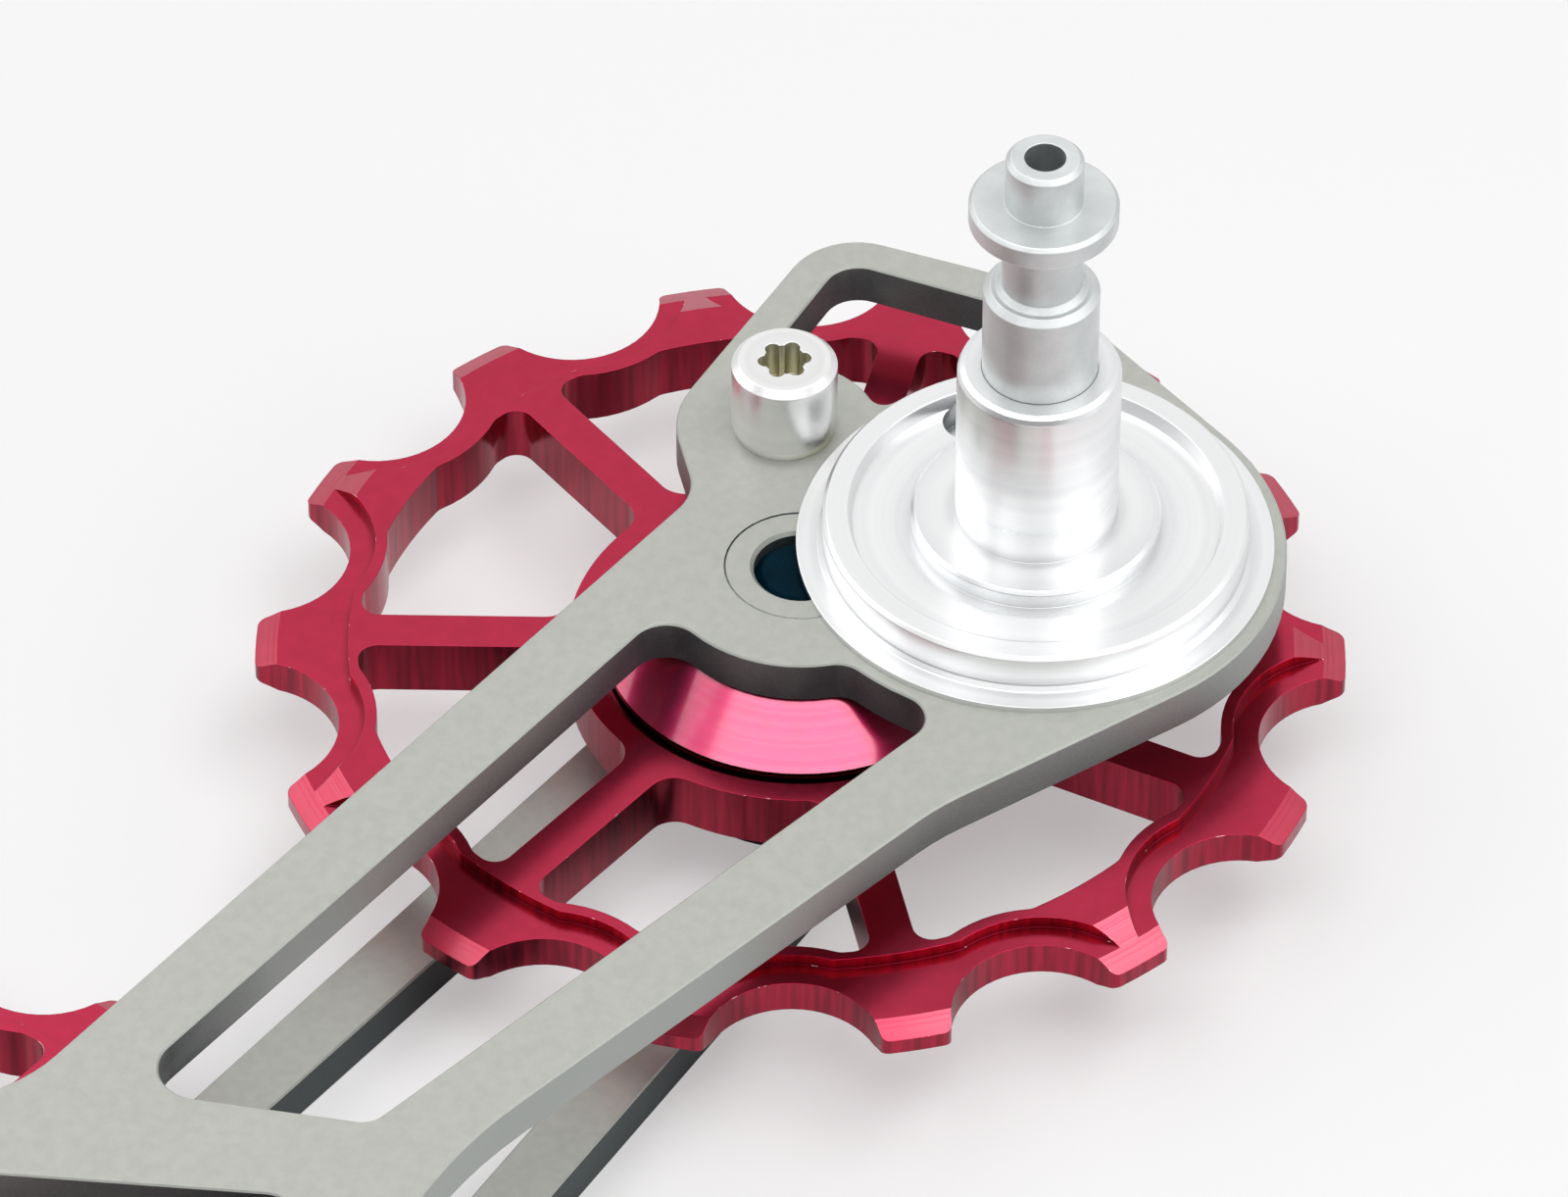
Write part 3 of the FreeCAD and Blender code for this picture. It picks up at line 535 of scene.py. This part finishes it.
floor_mesh = bpy.data.meshes.new("floor")
floor_z = cad_low.z - FLOOR_GAP
signs = ((-1, -1), (1, -1), (1, 1), (-1, 1))
floor_mesh.from_pydata([(x * FLOOR_HALF, y * FLOOR_HALF, floor_z) for x, y in signs], [], [(0, 1, 2, 3)])
floor = bpy.data.objects.new("floor", floor_mesh)
bpy.context.scene.collection.objects.link(floor)
paper, tree, shader = new_finish("white_paper", metallic=0.0, Base_Color=SHEET_WHITE, Roughness=0.9)
bare_white = put(tree, "ShaderNodeEmission", Color=WHITE, Strength=1.0)
path = tree.nodes.new("ShaderNodeLightPath").outputs
seen_share = reckon(tree, "MULTIPLY", path["Is Camera Ray"], PALE_SHARE)
pale = put(tree, "ShaderNodeMixShader", i0=seen_share, i1=shader.outputs[0], i2=bare_white.outputs[0])
tree.links.new(pale.outputs[0], tree.nodes["Material Output"].inputs["Surface"])
floor_mesh.materials.append(paper)
print("floor at", round(floor_z / MM, 2), "mm")

# %% [markdown]
# ## A tent of white cloth
# The object stood in a light tent: white cloth all round, with a darker opening on the camera's side. An
# image of a studio could light the scene, but a few nodes in the world do it with no file. The cloth is
# white for what the camera and the metal see, weaker as a light, and dim where the opening is, which gives
# upright walls and the round pins their darker sides.

# %% World
AMBIENT, SEEN = 0.22, 0.95
OPENING_DIM = 0.70
OPENING_LEFT = 0.45
OPENING_SIDES = (0.40, 0.75)
OPENING_TOP = (0.72, 0.52)
near = Vector((back.x, back.y, 0.0)).normalized()
zenith = Vector((0.0, 0.0, 1.0))
opening_at = (near - OPENING_LEFT * level).normalized()

world = bpy.data.worlds.new("light_tent")
world.use_nodes = True
bpy.context.scene.world = world
tree = world.node_tree
tree.nodes.clear()
path = tree.nodes.new("ShaderNodeLightPath").outputs
mirrored = reckon(tree, "MAXIMUM", path["Is Glossy Ray"], path["Is Transmission Ray"])
cloth = spread(tree, mirrored, 0.0, 1.0, AMBIENT, SEEN)
heading = tree.nodes.new("ShaderNodeTexCoord").outputs["Generated"]
ahead = vector_step(tree, "DOT_PRODUCT", heading, opening_at)
height = put(tree, "ShaderNodeSeparateXYZ", i0=heading).outputs[2]
opening = reckon(tree, "MULTIPLY", spread(tree, ahead, *OPENING_SIDES), spread(tree, height, *OPENING_TOP))
dimmed = spread(tree, opening, 0.0, 1.0, 1.0, 1.0 - OPENING_DIM)
lit = reckon(tree, "MULTIPLY", cloth, dimmed)
strength = reckon(tree, "MAXIMUM", lit, path["Is Camera Ray"])
sky = put(tree, "ShaderNodeBackground", Color=WHITE, Strength=strength)
tree.links.new(sky.outputs[0], tree.nodes.new("ShaderNodeOutputWorld").inputs["Surface"])
print("tent opens towards", [round(v, 2) for v in opening_at])

# %% [markdown]
# ## Softboxes
# Four softboxes shine through the cloth. The front one hangs high on the camera's side and the right one
# high at the right: the slanted teeth and the cap cones mirror them and turn pink. They leave the zenith
# free, because a lamp there would burn out every level face in a view from above. The key at the left casts
# the shadow, and the weak one low at the right fills the flanks. Area lamps are chosen because their size
# sets how soft the shadow is, and their power follows from the brightness wanted and the size.


# %% Lamps
def softbox(name, toward, distance, wide, high, radiance):
    lamp = bpy.data.lights.new(name, "AREA")
    lamp.shape = "RECTANGLE"
    lamp.size, lamp.size_y = wide, high
    lamp.energy = radiance * math.pi * wide * high
    made = bpy.data.objects.new(name, lamp)
    bpy.context.scene.collection.objects.link(made)
    facing = toward.normalized()
    spot = AIM + distance * facing
    side = (level - facing.dot(level) * facing).normalized()
    turn = Matrix((side, facing.cross(side), facing)).transposed().to_4x4()
    made.matrix_world = Matrix.Translation(spot) @ turn
    print(name, "at", [round(v, 2) for v in spot], round(lamp.energy, 2), "W")


front = 0.40 * near + zenith
high_right = 0.42 * level - 0.06 * near + zenith
far_left = -0.80 * level - 0.35 * near + zenith
low_right = 0.90 * level + 0.30 * near + 0.45 * zenith
softbox("front_softbox", front, distance=0.70, wide=0.84, high=0.30, radiance=2.7)
softbox("right_softbox", high_right, distance=0.70, wide=0.33, high=0.34, radiance=2.9)
softbox("key_softbox", far_left, distance=0.85, wide=1.00, high=0.80, radiance=0.9)
softbox("side_softbox", low_right, distance=0.80, wide=0.60, high=0.50, radiance=1.1)
bpy.context.scene.view_settings.view_transform = "Standard"
